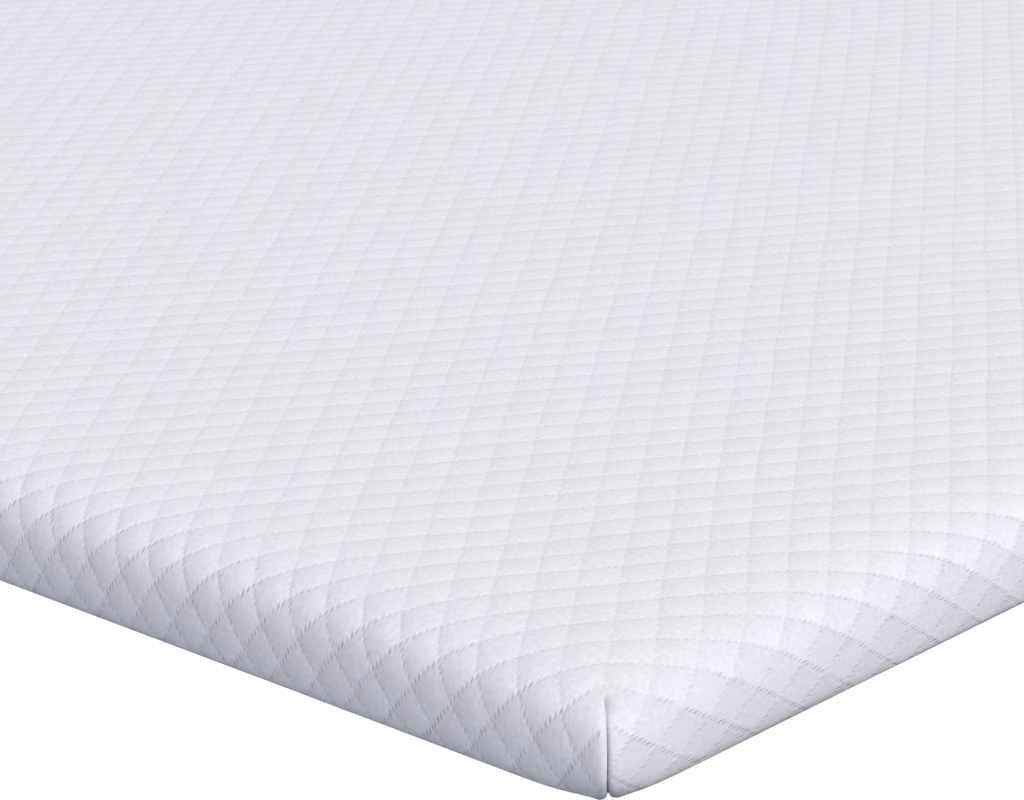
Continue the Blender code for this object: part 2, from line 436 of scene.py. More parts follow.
@dataclass
class QuiltedCover:
    """The cover as one closed mesh: the top panel, four side panels, four darts and the underside.

    Every panel adds its points to one table, whose columns are x, y and z, the cloth place, the
    share of the quilting's rise, how clearly the stitches show, and the distance from a seam.
    """

    shape: PadShape
    dart: CornerDart = CornerDart()
    slip: Slip = Slip()
    row_gap: float = 0.0006
    foot_rows: tuple[float, ...] = (0.0085, 0.0060, 0.0043, 0.0030, 0.0018, 0.0008)
    collapse_gap: float = 0.0004
    side_rise: float = 0.6
    side_rise_reach: float = 0.020
    foot_fade: Pair = (0.006, 0.022)
    farthest_seam: float = 0.05
    line_tolerance: float = 1e-4
    short_diagonal: float = 0.8
    sharp_share: float = 0.2
    wave_height: float = 0.00022
    wave_lengths: tuple[float, ...] = (0.31, 0.19, 0.13, 0.083)
    wave_tilt: float = 0.6
    wave_fade: float = 0.012
    wave_seed: int = 5

    def __post_init__(self) -> None:
        """Start with no points."""
        self.tables: list[Array] = []
        self.count = 0

    def add_points(self, points: Array, cloth: Array, *columns: Array | float) -> Array:
        """Keep points and return their numbers, in the shape of the grid they came in.

        Args:
            points: Points, with x, y and z in the last axis.
            cloth: Cloth places of the same points, with x and y in the last axis.
            columns: The table's other columns: rise share, stitch share, distance from a seam.

        Returns:
            Point numbers.
        """
        numbers = self.count + np.arange(points[..., 0].size).reshape(points.shape[:-1])
        spread = [np.broadcast_to(column, numbers.shape)[..., None] for column in columns]
        table = np.concatenate([points, cloth, *spread], axis=-1)
        self.tables.append(table.reshape(numbers.size, -1))
        self.count += numbers.size
        return numbers

    def make_top(self) -> Array:
        """Make the top panel's grid and return its point numbers, by row along Y and column along X."""
        place_x, place_y = np.meshgrid(*self.shape.lines)
        cloth = np.stack([place_x, place_y], axis=-1)
        return self.add_points(self.shape.top(place_x, place_y), cloth, 1.0, 1.0, self.farthest_seam)

    def border_numbers(self, top: Array, side: Side) -> Array:
        """Return the top's border points on a side, from left to right as seen from outside."""
        borders = {
            Side.FRONT: top[0, :],
            Side.RIGHT: top[:, -1],
            Side.BACK: top[-1, ::-1],
            Side.LEFT: top[::-1, 0],
        }
        return borders[side]

    def row_arcs(self, side: Side) -> tuple[Array, Array, Array]:
        """Return each row's length of cloth below the top's border, and its sideways shift in steps.

        A long side has a row for each step of the grid. A short side has two, and every other row
        is shifted by half a step, so that the stitch lines still run from point to point. More
        rows beside the seam's top carry its pucker, and close rows go round the foot.

        Args:
            side: The side.

        Returns:
            The lengths, the shifts, and whether a row is only there for the pucker.
        """
        shape, long_side = self.shape, side.axis == 0
        step = shape.quilting.steps[side.axis] / (1.0 if long_side else 2.0)
        start = shape.half[side.axis] - shape.profile.REACH
        full = shape.profile.end - (shape.border(side.axis, side.signs[0]) - start)
        rows = np.arange(1, int((full - self.foot_rows[0] - self.row_gap) / step) + 1)
        foot = full - np.array([*self.foot_rows, 0.0])
        arcs = np.concatenate([[0.0], rows * step, foot])
        shifts = np.zeros(len(arcs))
        shifts[rows] = 0.0 if long_side else 0.5 * (rows % 2)
        pucker = np.array(self.dart.pucker_rows)
        shifts = np.concatenate([shifts, np.interp(pucker, arcs, shifts)])
        added = np.arange(len(shifts)) >= len(arcs)
        arcs = np.concatenate([arcs, pucker])
        order = np.argsort(arcs)
        return arcs[order], shifts[order], added[order]

    def make_side(self, side: Side, top: Array) -> Array:
        """Make a side panel, from the top's border down to the underside.

        Each row has the columns of the top grid, the columns that the corner's cut opens beyond
        them, and at both ends a few narrow columns that follow the seam. A column that comes too
        close to the narrow ones joins the last of them.

        Args:
            side: The side.
            top: The top panel's point numbers.

        Returns:
            The panel's point numbers, by row from the top and column from the left.
        """
        shape, dart = self.shape, self.dart
        step, lines = shape.quilting.steps[1 - side.axis], shape.lines[1 - side.axis]
        if side.signs[1] < 0.0:
            lines = -lines[::-1]
        arcs, shifts, added = self.row_arcs(side)
        extra = int(shape.dart_inset / step)
        before = lines[0] - step * np.arange(extra, 0, -1)
        after = lines[-1] + step * np.arange(1, extra + 1)
        columns = np.concatenate([before, lines, after])
        along = columns[None, :] + step * shifts[:, None]
        hang = self.hang(side, along, arcs)
        first, seam_away, inset, radius = self.seam_columns(side, -1.0, DartEdge.STRAIGHT, arcs)
        last = self.seam_columns(side, 1.0, DartEdge.WRAPPED, arcs)[0]
        left = along < 0.0
        turn = np.where(left, dart.turn(DartEdge.STRAIGHT), dart.turn(DartEdge.WRAPPED))
        away = hang.inset_along - inset - radius * (1.0 - turn)
        nearest = seam_away[:, -1:]
        held = away <= nearest + self.collapse_gap
        numbers = self.lay(side, along, hang, inset, radius, np.maximum(away, nearest), arcs)
        numbers = np.where(held & left, first[:, -1:], numbers)
        numbers = np.where(held & ~left, last[:, -1:], numbers)
        numbers = np.concatenate([first, numbers, last[:, ::-1]], axis=1)
        border = self.border_numbers(top, side)
        width = first.shape[1] + extra
        numbers[0, :width] = border[0]
        numbers[0, width:-width] = border
        numbers[0, -width:] = border[-1]
        spread = dart.pucker_spread
        far = (columns >= lines[0] + spread) & (columns <= lines[-1] - spread)
        far = np.pad(far, first.shape[1])
        for row in np.flatnonzero(added):
            numbers[row, far] = numbers[row - 1, far]
        return numbers

    def hang(self, side: Side, along: Array, arcs: Array) -> Hang:
        """Return how the cloth of a side hangs at each row and column.

        A row's length of cloth is the border's plus the row's own plus the slip, held back near the
        end so that the rows keep their order where the dart pulls the cloth down.

        Args:
            side: The side.
            along: Cloth places along the side, to the right, for each row and column.
            arcs: Each row's length of cloth below the border.

        Returns:
            The places on the profile and on the cloth.
        """
        shape, slip, end = self.shape, self.slip, self.shape.profile.end
        out_sign, right_sign = side.signs
        border = shape.border(side.axis, out_sign)
        out = np.full(along.shape, border * out_sign)
        plane, start, _ = shape.edge(out, along * right_sign, side.axis)
        room = np.minimum(self.row_gap * np.arange(len(arcs) - 1, -1, -1), arcs[-1] - arcs)[:, None]
        limit = shape.border(1 - side.axis, along * right_sign)
        to_corner = np.maximum(limit - np.abs(along), 0.0)
        eased = shape.corner_ease * bell(to_corner / shape.ease_reach)
        eased = eased * smooth_step(arcs[:, None] / slip.ease_depth)
        slipped = slip.along_line(to_corner, arcs[:, None])
        slope = shape.quilting.length / shape.quilting.width
        drift = eased + slipped * (slope if side.axis == 0 else 1.0 / slope)
        down = eased + slipped
        arc = np.minimum(start + arcs[:, None] + down, end - room)
        arc[-1] = end
        held = np.clip(along, -limit, limit)
        places = (out, held * right_sign)
        top = shape.top(*(places if side.axis == 0 else places[::-1]))
        across = np.abs(top[..., 1 - side.axis])
        inset_along = shape.half[1 - side.axis] - across - (np.abs(along) - np.abs(held)) - drift
        cloth_out = border + arc - start - down
        first_fall = shape.profile.fall_at(start)
        return Hang(arc, plane, inset_along, top[..., 2], first_fall, cloth_out, drift)

    def seam_columns(self, side: Side, end: float, edge: DartEdge, arcs: Array) -> tuple[Array, ...]:
        """Make the narrow columns that follow a seam.

        Args:
            side: The side.
            end: -1 for the side's left end, 1 for its right end.
            edge: Which cloth of the dart this end is.
            arcs: Each row's length of cloth below the border.

        Returns:
            The columns' point numbers, their distances from the seam, and for each row how far the
            corner lies inside both planes and the corner's radius.
        """
        shape, dart = self.shape, self.dart
        border = shape.border(1 - side.axis, end * side.signs[1])
        hang = self.hang(side, np.full((len(arcs), 1), end * border), arcs)
        inset = shape.profile.inset_at(hang.arc)
        radius = (dart.rounding * smooth_step(arcs / dart.rounding_ramp))[:, None]
        ramp = np.clip(arcs / dart.column_ramp, 0.0, 1.0)[:, None]
        away = np.array(dart.column_places)[None, :] * ramp
        unrolled = away + radius * (1.0 - dart.turn(edge)) + inset + hang.drift
        along = end * (border + shape.dart_inset - unrolled)
        return self.lay(side, along, hang, inset, radius, away, arcs), away, inset, radius

    def lay(
        self, side: Side, along: Array, hang: Hang,
        inset: Array, radius: Array, away: Array, arcs: Array,
    ) -> Array:
        """Add the points of a side panel from its unrolled places.

        Away from the corner the level section is the side's plane less the profile's inset. Within
        the corner's radius the cloth turns on an arc, by the distance to go over the radius. The
        height falls from the border's to nothing in step with the profile's fall. The dart's dip
        goes along the normal. Near the seam the foot is drawn in on both sides and lifts to a
        notch. The stitches show by one less a bell curve of the distance from the seam.

        Args:
            side: The side.
            along: Cloth places along the side, whose sign says which end is nearer.
            hang: How the cloth hangs.
            inset: How far the corner lies inside both planes, at each row.
            radius: The corner's radius at each row.
            away: Distances from the seam along the cloth.
            arcs: Each row's length of cloth below the border.

        Returns:
            The points' numbers.
        """
        shape, dart, profile, arc = self.shape, self.dart, self.shape.profile, hang.arc
        left, below = along < 0.0, arcs[:, None]
        turn = np.where(left, dart.turn(DartEdge.STRAIGHT), dart.turn(DartEdge.WRAPPED))
        beyond = away + radius * (1.0 - turn)
        angle = np.clip((radius - beyond) / np.maximum(radius, TINY), 0.0, math.pi / 2.0)
        out_inset = radius * (1.0 - np.cos(angle))
        end_inset = np.where(beyond < radius, radius * (1.0 - np.sin(angle)), beyond)
        straight_dip = dart.dip(DartEdge.STRAIGHT, away, below)
        dip = np.where(left, straight_dip, dart.dip(DartEdge.WRAPPED, away, below))
        outward, upward = profile.facing(arc)
        out = hang.plane - profile.inset_at(arc) - out_inset - dip * outward * np.cos(angle)
        half_along = shape.half[1 - side.axis]
        sideways = half_along - inset - end_inset - dip * outward * np.sin(angle)
        share = (profile.fall_at(arc) - hang.first_fall) / (profile.height - hang.first_fall)
        low = smooth_step((arc - (profile.end - dart.heel_height)) / dart.heel_height)
        heel = low * bell(away / dart.heel_reach)
        out = out - heel * np.where(left, dart.heel_inset_straight, dart.heel_inset_wrapped)
        sideways = sideways - heel * np.where(left, dart.heel_inset_wrapped, dart.heel_inset_straight)
        notch = dart.notch_lift * bell(away / dart.notch_width) * low
        notch = notch + dart.heel_lift * bell(away / dart.lift_reach) * low
        z = hang.height * (1.0 - share) + notch - dip * upward * (profile.end - arc > 0.0)
        level = side.level(out, np.where(left, -sideways, sideways))
        points = np.concatenate([level, z[..., None]], axis=-1)
        sewn = 1.0 - bell(away / dart.quilting_gap)
        cloth = side.level(hang.cloth_out, along)
        rise = self.side_share(arc) * sewn
        return self.add_points(points, cloth, rise, sewn, np.minimum(away, self.farthest_seam))

    def side_share(self, arc: Array) -> Array:
        """Return the share of the quilting's rise at a length of cloth on a side.

        The cloth is tauter there, so the share eases from 1 to the side's own, and it ends round
        the foot.

        Args:
            arc: Lengths of cloth from the shoulder's start.

        Returns:
            Shares from 0 to 1.
        """
        below = smooth_step((arc - self.shape.dart_arc) / self.side_rise_reach)
        rest = self.shape.profile.end - arc
        foot = smooth_step((rest - self.foot_fade[0]) / (self.foot_fade[1] - self.foot_fade[0]))
        return (1.0 - (1.0 - self.side_rise) * below) * foot

    def on_one_line(self, first: Array, second: Array) -> Array:
        """Return whether pairs of points lie on one stitch line.

        Args:
            first: Numbers of the first points.
            second: Numbers of the second points.

        Returns:
            True for each pair whose line numbers are whole and the same.
        """
        found = np.zeros(first.shape, bool)
        for number in self.line_numbers:
            whole = np.abs(number[first] - np.round(number[first])) < self.line_tolerance
            found |= whole & (np.abs(number[first] - number[second]) < self.line_tolerance)
        return found

    def split(self, corners: Array) -> Array:
        """Split four-sided cells into triangles, along the stitch line where one crosses the cell.

        Other cells are split along the shorter diagonal if one is much shorter, and else along
        the one that stands higher, so that the diamonds stay round.

        Args:
            corners: Point numbers, four to a row, counter-clockwise from outside.

        Returns:
            Triangles, three point numbers to a row.
        """
        first, second, third, fourth = corners.T
        along_a, along_b = self.on_one_line(first, third), self.on_one_line(second, fourth)
        length_a = np.linalg.norm(self.base[first] - self.base[third], axis=1)
        length_b = np.linalg.norm(self.base[second] - self.base[fourth], axis=1)
        short_a = length_a < self.short_diagonal * length_b
        short_b = length_b < self.short_diagonal * length_a
        higher_a = self.rises[first] + self.rises[third] > self.rises[second] + self.rises[fourth]
        by_shape = short_a | (higher_a & ~short_b)
        use_a = np.where(along_a == along_b, by_shape, along_a)[:, None]
        one = np.where(use_a, corners[:, [0, 1, 2]], corners[:, [1, 2, 3]])
        two = np.where(use_a, corners[:, [0, 2, 3]], corners[:, [1, 3, 0]])
        return np.concatenate([one, two])

    def close_dart(self, left: Array, right: Array) -> Array:
        """Return the narrow triangles in the seam between two side panels.

        The seam's points on both sides are taken in order of height, and each step down one side
        makes a triangle with the point that the other side has reached.

        Args:
            left: The numbers of the panel whose right end is sewn.
            right: The numbers of the panel whose left end is sewn.

        Returns:
            Triangles, three point numbers to a row.
        """
        one, two = left[:, -1], right[:, 0]
        middles = []
        for seam in (one, two):
            depth = -self.base[seam, 2]
            middles.append((depth[1:] + depth[:-1]) / 2.0)
        on_two = np.searchsorted(middles[1], middles[0], side="left")
        on_one = np.searchsorted(middles[0], middles[1], side="right")
        down_one = np.stack([one[:-1], one[1:], two[on_two]], axis=1)
        down_two = np.stack([one[on_one], two[1:], two[:-1]], axis=1)
        return np.concatenate([down_one, down_two])

    def close_underside(self, panels: list[Array]) -> Array:
        """Return the flat underside, as triangles from the outline to a point under the middle."""
        outline = np.concatenate([panel[-1] for panel in panels])
        outline = outline[outline != np.roll(outline, 1)]
        middle = self.add_points(np.zeros((1, 3)), np.zeros((1, 2)), 0.0, 0.0, self.farthest_seam)
        return np.stack([np.roll(outline, -1), outline, np.full(outline.shape, middle[0])], axis=1)

    def waves(self, points: Array) -> Array:
        """Return the slight unevenness of the filling, as a sum of slow sine waves.

        Args:
            points: Points of the cover.

        Returns:
            Shifts in x, y and z, which end at the underside.
        """
        random = np.random.default_rng(self.wave_seed)
        shift = np.zeros(points.shape)
        for length in self.wave_lengths:
            for axis in range(3):
                heading = random.uniform(0.0, FULL_TURN)
                tilt = random.uniform(-self.wave_tilt, self.wave_tilt)
                direction = np.array([math.cos(heading), math.sin(heading), tilt])
                phase = random.uniform(0.0, FULL_TURN)
                shift[:, axis] += np.sin(points @ direction * (FULL_TURN / length) + phase)
        return self.wave_height * shift * smooth_step(points[:, 2:] / self.wave_fade)

    def normals(self, triangles: Array) -> Array:
        """Return each point's normal, as the sum of the normals of the triangles round it."""
        first, second, third = (self.base[triangles[:, number]] for number in range(3))
        across = np.cross(second - first, third - first)
        total = np.zeros(self.base.shape)
        for number in range(3):
            for axis in range(3):
                total[:, axis] += np.bincount(triangles[:, number], across[:, axis], self.count)
        return total / np.maximum(np.linalg.norm(total, axis=1, keepdims=True), TINY**2)

    def cells(self, numbers: Array, downward: bool) -> Array:
        """Return a grid's cells, counter-clockwise from outside.

        Args:
            numbers: The grid's point numbers.
            downward: Whether the rows go down, as on a side, or along Y, as on the top.

        Returns:
            Point numbers, four to a row.
        """
        near, far = numbers[:-1], numbers[1:]
        order = [near[:, :-1], far[:, :-1], far[:, 1:], near[:, 1:]]
        if not downward:
            order = [near[:, :-1], near[:, 1:], far[:, 1:], far[:, :-1]]
        return np.stack([part.ravel() for part in order], axis=1)

    def build(self) -> bpy.types.Object:
        """Build the cover and return its object.

        The points are lifted off the surface by the quilting's rise along their normals, held at
        or above the floor, and then moved by the waves.
        """
        top = self.make_top()
        panels = [self.make_side(side, top) for side in Side]
        underside = self.close_underside(panels)
        table = np.concatenate(self.tables)
        self.base, self.shares = table[:, :3], table[:, 5]
        across, along = self.shape.crossing[0] - table[:, 3], table[:, 4] - self.shape.crossing[1]
        self.line_numbers = self.shape.quilting.lines(across, along)
        self.rises = self.shape.quilting.rise_at(*self.line_numbers) * self.shares
        cells = [self.cells(top, False)] + [self.cells(panel, True) for panel in panels]
        seams = [self.close_dart(panels[number - 1], panels[number]) for number in (1, 2, 3, 0)]
        cloth = np.concatenate([self.split(np.concatenate(cells)), *seams])
        triangles = np.concatenate([cloth, underside])
        under = np.arange(len(triangles)) >= len(cloth)
        first, second, third = triangles.T
        whole = (first != second) & (second != third) & (third != first)
        triangles, under = triangles[whole], under[whole]
        places = self.base + self.normals(triangles) * self.rises[:, None]
        places[:, 2] = np.maximum(places[:, 2], 0.0)
        places = places + self.waves(places)
        used = np.unique(triangles)
        renumber = np.zeros(self.count, int)
        renumber[used] = np.arange(len(used))
        mesh = self.make_mesh(places[used], renumber[triangles], under, table[used])
        self.sharpen(mesh, used)
        changed = mesh.validate(verbose=True)
        cover = bpy.data.objects.new("quilted_cover", mesh)
        bpy.context.scene.collection.objects.link(cover)
        LOG.info("quilted_cover: %d points, %d triangles, changed by validate: %s",
                 len(used), len(triangles), changed)
        return cover

    def make_mesh(self, places: Array, triangles: Array, under: Array, table: Array) -> bpy.types.Mesh:
        """Put the cover into a mesh, with its cloth places and its sewing as maps.

        Args:
            places: The points.
            triangles: Point numbers, three to a row.
            under: Whether a triangle belongs to the underside, which has no stitches.
            table: The points' rows of the table.

        Returns:
            The mesh.
        """
        mesh = bpy.data.meshes.new("quilted_cover")
        mesh.vertices.add(len(places))
        mesh.vertices.foreach_set("co", places.astype(np.float32).ravel())
        mesh.loops.add(triangles.size)
        mesh.loops.foreach_set("vertex_index", triangles.astype(np.int32).ravel())
        mesh.polygons.add(len(triangles))
        mesh.polygons.foreach_set("loop_start", np.arange(0, triangles.size, 3, dtype=np.int32))
        mesh.polygons.foreach_set("loop_total", np.full(len(triangles), 3, np.int32))
        mesh.update(calc_edges=True)
        corners, below = triangles.ravel(), np.repeat(under, 3)[:, None]
        cloth = np.where(below, places[corners, :2], table[corners, 3:5])
        sewing = table[corners, 6:8] * np.where(below, 0.0, 1.0)
        for name, values in (("cloth", cloth), ("sewing", sewing)):
            layer = mesh.uv_layers.new(name=name)
            layer.data.foreach_set("uv", values.astype(np.float32).ravel())
        mesh.uv_layers.active = mesh.uv_layers["cloth"]
        mesh.shade_smooth()
        return mesh

    def sharpen(self, mesh: bpy.types.Mesh, used: Array) -> None:
        """Make the edges on raised stitch lines sharp.

        Args:
            mesh: The cover's mesh.
            used: The table's number of each of its points.
        """
        pairs = np.zeros(len(mesh.edges) * 2, np.int32)
        mesh.edges.foreach_get("vertices", pairs)
        first, second = used[pairs.reshape(-1, 2)].T
        raised = np.minimum(self.shares[first], self.shares[second]) > self.sharp_share
        attribute = mesh.attributes.new("sharp_edge", "BOOLEAN", "EDGE")
        attribute.data.foreach_set("value", self.on_one_line(first, second) & raised)


class NodeTree:
    """A short way to write a material's nodes."""

    def __init__(self, tree: bpy.types.NodeTree) -> None:
        """Keep the tree that the nodes go in."""
        self.tree = tree

    def node(self, kind: str, **settings: object) -> bpy.types.Node:
        """Return a new node of a kind, with its settings."""
        made = self.tree.nodes.new(kind)
        for name, value in settings.items():
            setattr(made, name, value)
        return made

    def join(self, source: object, socket: bpy.types.NodeSocket) -> None:
        """Set a socket to a constant, or link it from a value or another socket."""
        source = source.socket if isinstance(source, Value) else source
        if isinstance(source, bpy.types.NodeSocket):
            self.tree.links.new(source, socket)
        else:
            socket.default_value = source

    def result(self, kind: str, sources: tuple, **settings: object) -> "Value":
        """Return what a new node makes of its first inputs."""
        made = self.node(kind, **settings)
        for socket, source in zip(made.inputs, sources):
            self.join(source, socket)
        return Value(self, made.outputs[0])

    def parts(self, vector: object) -> "list[Value]":
        """Return the x, y and z of a vector."""
        made = self.node("ShaderNodeSeparateXYZ")
        self.join(vector, made.inputs[0])
        return [Value(self, output) for output in made.outputs]

    def noise(self, vector: object, scale: float, detail: float) -> "Value":
        """Return a cloudy noise at the places of a vector, with a number of clouds to its unit."""
        made = self.node("ShaderNodeTexNoise")
        made.inputs["Scale"].default_value = scale
        made.inputs["Detail"].default_value = detail
        self.join(vector, made.inputs["Vector"])
        return Value(self, made.outputs[0])

    def tint(self, colour: tuple, tone: "Value", socket: bpy.types.NodeSocket) -> None:
        """Link a socket to a colour times a tone."""
        made = self.node("ShaderNodeVectorMath", operation="SCALE")
        made.inputs[0].default_value = colour
        self.join(tone, made.inputs["Scale"])
        self.join(made.outputs[0], socket)


class Value:
    """A number that a material's nodes work out, with the usual signs for sums and products."""

    def __init__(self, nodes: NodeTree, socket: bpy.types.NodeSocket) -> None:
        """Keep the nodes, and the socket that gives the number."""
        self.nodes = nodes
        self.socket = socket

    def math(self, operation: str, *others: object) -> "Value":
        """Return the result of a Math node on this number and others."""
        return self.nodes.result("ShaderNodeMath", (self, *others), operation=operation)

    def __rsub__(self, other: float) -> "Value":
        """Return a plain number less this one."""
        return self.nodes.result("ShaderNodeMath", (other, self), operation="SUBTRACT")

    __add__ = partialmethod(math, "ADD")
    __sub__ = partialmethod(math, "SUBTRACT")
    __mul__ = partialmethod(math, "MULTIPLY")
    __truediv__ = partialmethod(math, "DIVIDE")
    __abs__ = partialmethod(math, "ABSOLUTE")

    def mapped(self, low: float, high: float, to_low: object, to_high: object) -> "Value":
        """Return the number eased from one range to another, held at both ends."""
        sources = (self, low, high, to_low, to_high)
        return self.nodes.result("ShaderNodeMapRange", sources, interpolation_type="SMOOTHSTEP")

    def blend(self, first: float, second: float) -> "Value":
        """Return a number that goes from the first to the second as this one goes from 0 to 1."""
        return self.mapped(0.0, 1.0, first, second)

    def off_whole(self) -> "Value":
        """Return how far the number is from the nearest whole one, with its sign."""
        return self - self.math("ROUND")


@dataclass
class KnitFinish:
    """The white double knit of the cover: fine ribs, fibres, stitch lines and their needle dents.

    Each pair has a value for the top and one for the sides, but for the ranges, whose names say
    so. Sizes are in metres, and clouds are counted to the metre.
    """

    shape: PadShape
    colour: tuple[float, float, float] = (0.790, 0.790, 0.802)
    roughness: float = 0.88
    sheen: float = 0.08
    sheen_roughness: float = 0.45
    gloss: float = 0.25
    rib_pitch: float = 0.00135
    rib_depth: float = 0.000010
    rib_bend: float = 6.0
    rib_clouds: float = 90.0
    course_pitch: float = 0.0011
    course_depth: float = 0.000003
    fibre_size: float = 0.0007
    fibre_depth: float = 0.00006
    valley_width: float = 0.0022
    valley_depth: float = 0.00014
    falling_valley: float = 0.5
    stitches: int = 6
    stitch_length: Pair = (0.0012, 0.0017)
    stitch_width: Pair = (0.00050, 0.00060)
    stitch_rim_range: Pair = (0.25, 1.35)
    stitch_depth: Pair = (0.00014, 0.00022)
    # Painted shade in the needle dents, on the top and on the sides.
    dent_painted_shade: Pair = (0.035, 0.120)
    stitch_clouds: float = 160.0
    stitch_strength_range: Pair = (0.55, 1.35)
    # More painted shade in the dents of the short sides.
    end_dent_painted_shade: float = 0.085
    falling_share: Pair = (0.30, 0.65)
    # Painted highlight beside each dent on the short sides: its shift and its strength.
    highlight_tick_shift: float = 0.0009
    tick_painted_highlight: float = 0.080
    streak_width: float = 0.0008
    streak_length: float = 0.0036
    streak_depth: Pair = (0.000012, 0.000016)
    streak_shade: float = 0.040
    mottle_size: float = 0.0024
    mottle_tone: float = 0.24
    pucker_width: float = 0.0006
    pucker_length: float = 0.0023
    pucker_reach: float = 0.0042
    pucker_depth: float = 0.00026
    # Painted shade in the puckers' dips and painted light on their tops.
    pucker_painted_shading: Pair = (0.015, 0.160)
    # Strengths of the painted shade and light on a diamond's two flanks, and how fast they turn at a
    # line.
    flank_shade_rising: Pair = (0.022, 0.065)
    flank_shade_falling: Pair = (0.006, 0.044)
    flank_shade_turn: float = 0.05
    side_range: Pair = (0.050, 0.085)
    thread_pitch: float = 0.0021
    thread_reach: float = 0.0022
    thread_depth: float = 0.00006
    thread_clouds: float = 180.0
    thread_bend: float = 5.0
    diamond_tones: float = 0.010
    cloud_tones: float = 0.010
    slow_clouds: float = 30.0

    def __post_init__(self) -> None:
        """Start the material with the cloth's places, its stitch lines and its sides.

        The side is 0 on the level top and 1 on the sides, and the end is 1 on the short sides
        alone, both from how far the cloth is past the shoulder's start.
        """
        self.material = bpy.data.materials.new("quilted_knit")
        self.material.use_nodes = True
        self.nodes = NodeTree(self.material.node_tree)
        quilting = self.shape.quilting
        self.cloth = self.nodes.node("ShaderNodeUVMap", uv_map="cloth").outputs[0]
        sewing = self.nodes.node("ShaderNodeUVMap", uv_map="sewing").outputs[0]
        x, y, _ = self.nodes.parts(self.cloth)
        self.sewn, self.away, _ = self.nodes.parts(sewing)
        self.across = self.shape.crossing[0] - x
        self.along = y - self.shape.crossing[1]
        part_x, part_y = self.across / quilting.width, self.along / quilting.length
        self.lines = (part_x + part_y, part_x - part_y)
        self.offsets = [line.off_whole() for line in self.lines]
        spacing = quilting.width * quilting.length / math.hypot(quilting.width, quilting.length)
        self.distances = [abs(offset) * spacing for offset in self.offsets]
        past = []
        for place, half in zip((x, y), self.shape.half):
            beyond = abs(place) - (half - self.shape.profile.REACH)
            past.append(beyond.mapped(*self.side_range, 0.0, 1.0))
        self.side, self.end = past[0].math("MAXIMUM", past[1]), past[1]

    def build(self) -> bpy.types.Material:
        """Return the knit as a material that reads the cover's own cloth places."""
        side, end = self.side, self.end
        dents = self.dents(self.across) * self.sewn
        # A copy of the dents shifted sideways, used only for a painted highlight beside each dent.
        painted_highlight_ticks = self.dents(self.across + self.highlight_tick_shift) * self.sewn
        nearest = self.distances[0].math("MINIMUM", self.distances[1])
        near = nearest.mapped(0.0, self.pucker_reach, 2.0, 0.0)
        puckers = self.drawn_noise(self.pucker_width, self.pucker_length, 1.0) * near
        streaks = self.drawn_noise(self.streak_width, self.streak_length, 2.0) * 4.0
        mottle = self.nodes.noise(self.cloth, 1.0 / self.mottle_size, 2.0) - 0.5
        height = (
            self.valley() * -self.valley_depth
            + dents * side.blend(*(-depth for depth in self.stitch_depth))
            + puckers * self.pucker_depth
            + streaks * side.blend(*self.streak_depth)
            + self.knit()
            + self.threads()
        )
        tone = (
            self.clouds()
            + self.diamonds()
            # painted shade and light on the diamonds' flanks
            + self.painted_flank_shade() * self.sewn
            # painted shade in the needle dents
            + dents * side.blend(*(-shade for shade in self.dent_painted_shade))
            + dents * end.blend(0.0, -self.end_dent_painted_shade)
            # painted shade and light that follow the puckers' relief
            + puckers * end.blend(*self.pucker_painted_shading)
            + streaks * end.blend(0.0, self.streak_shade)
            # painted highlight beside each dent
            + painted_highlight_ticks * end.blend(0.0, self.tick_painted_highlight)
            + mottle * self.mottle_tone
        )
        shader = self.material.node_tree.nodes["Principled BSDF"]
        bump = self.nodes.node("ShaderNodeBump")
        bump.inputs["Strength"].default_value = 1.0
        bump.inputs["Distance"].default_value = 1.0
        self.nodes.join(height, bump.inputs["Height"])
        self.nodes.join(bump.outputs[0], shader.inputs["Normal"])
        self.nodes.tint(self.colour, tone, shader.inputs["Base Color"])
        shader.inputs["Roughness"].default_value = self.roughness
        shader.inputs["Specular IOR Level"].default_value = self.gloss
        shader.inputs["Sheen Weight"].default_value = self.sheen
        shader.inputs["Sheen Roughness"].default_value = self.sheen_roughness
        return self.material

    def valley(self) -> Value:
        """Return 1 on a rising line and less on a falling one, eased to 0 at the valley's width."""
        rising, falling = self.distances
        shallow = falling.mapped(0.0, self.valley_width, self.falling_valley, 0.0)
        return rising.mapped(0.0, self.valley_width, 1.0, 0.0).math("MAXIMUM", shallow)

    def dents(self, across: Value) -> Value:
        """Return the needle dents, from 0 to a little over 1.

        The dents lie on the lines, a number of them to a diamond's side, and each is an oval that
        points along the ribs. A noise makes some deeper than others. Those of the falling lines
        are shallower.

        Args:
            across: Distance from the crossing towards -X, or that with a shift.

        Returns:
            The dents.
        """
        width, length = self.shape.quilting.width, self.shape.quilting.length
        step = width / (2.0 * self.stitches)
        off_step = (across / step).off_whole() * step
        squeezed = off_step / self.side.blend(*self.stitch_width)
        square = squeezed * squeezed
        share = off_step / width
        found = []
        for offset, full in zip(self.offsets, (1.0, self.side.blend(*self.falling_share))):
            far = (offset - share) * length / self.side.blend(*self.stitch_length)
            both = (square + far * far).math("SQRT")
            found.append(both.mapped(*self.stitch_rim_range, full, 0.0))
        clouds = self.nodes.noise(self.cloth, self.stitch_clouds, 2.0)
        strength = clouds.mapped(0.35, 0.65, *self.stitch_strength_range)
        return found[0].math("MAXIMUM", found[1]) * strength

    def drawn_noise(self, width: float, length: float, detail: float) -> Value:
        """Return a noise about 0 that is drawn out along the ribs, with two grains to a cloud."""
        grains = self.nodes.result("ShaderNodeCombineXYZ", (self.across / width, self.along / length))
        return self.nodes.noise(grains, 0.5, detail) - 0.5

